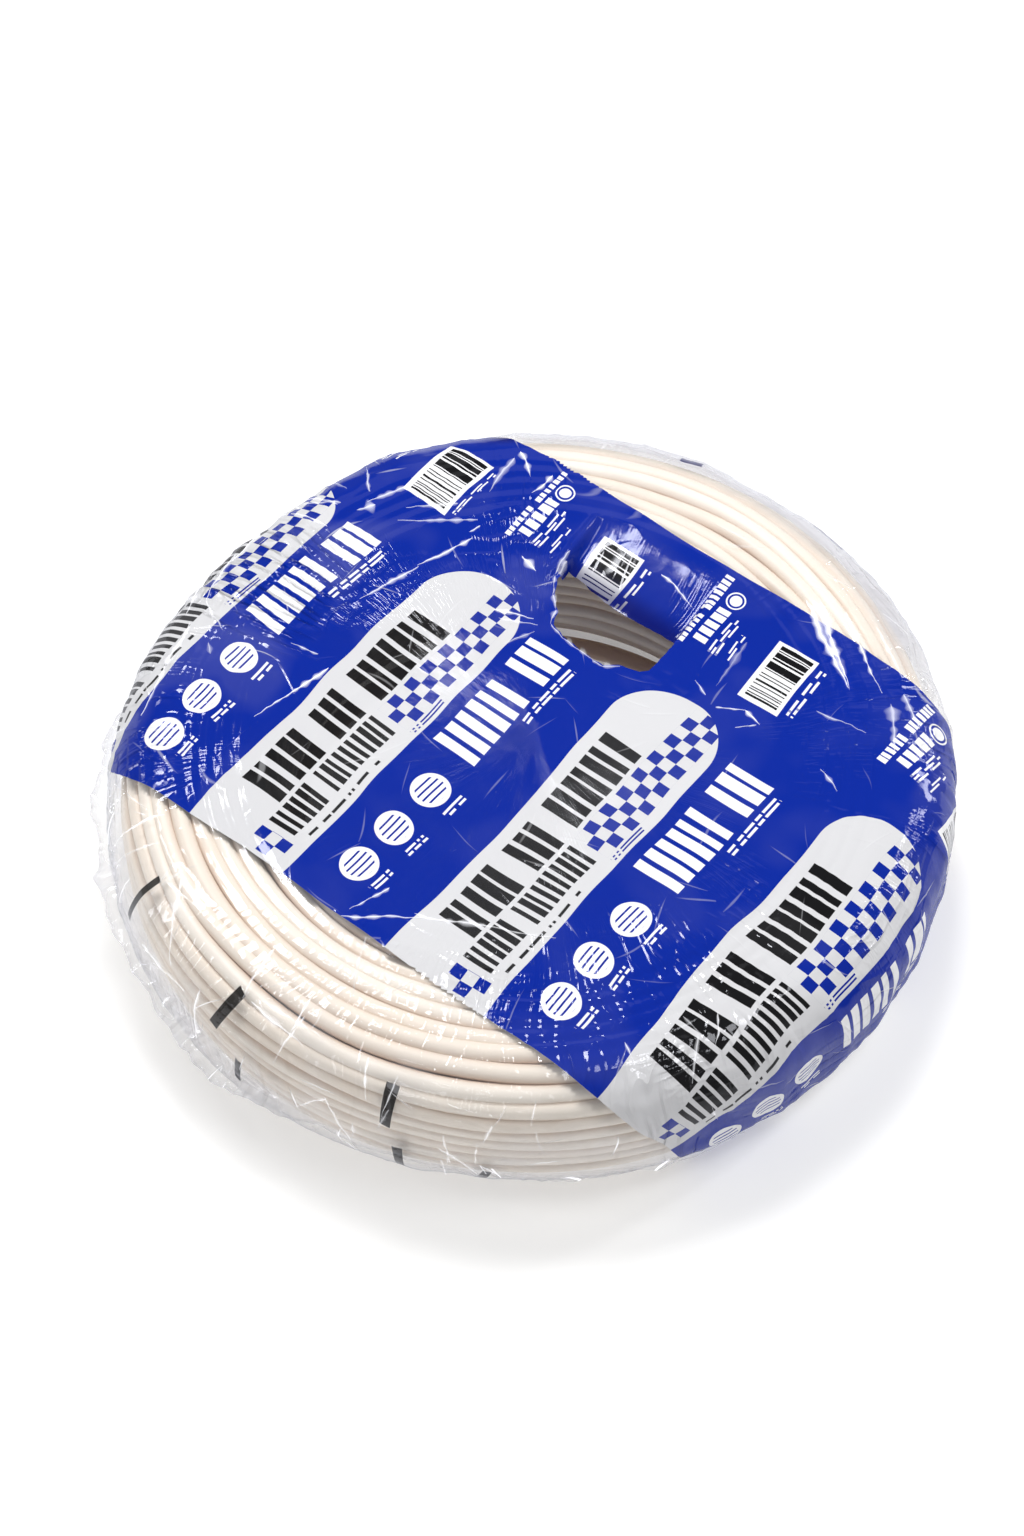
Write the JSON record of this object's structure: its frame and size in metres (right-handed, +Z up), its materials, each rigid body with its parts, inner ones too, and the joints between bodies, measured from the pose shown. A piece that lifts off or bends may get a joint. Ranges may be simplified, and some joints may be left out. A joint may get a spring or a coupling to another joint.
{
  "type": "coil of electrical wire",
  "caption": "Flat-lying coil of round ivory-jacketed electrical cable, shrink-wrapped in clear film with a printed lane, open above for drawing the cable out.",
  "frame": {"origin": "middle of the flat face that the coil lies on", "axes": "+Z up along the coil's axis; +X right and +Y away, as the picture shows it"},
  "size_m": [0.4016, 0.4016, 0.0862],
  "materials": {
    "cable_jacket": "satin ivory cable jacket",
    "printed_film": "clear glossy shrink film with a royal blue and white printed lane"
  },
  "bodies": {
    "root": {"cable_coil": "cable_jacket", "shrink_film": "printed_film"}
  },
  "joints": []
}
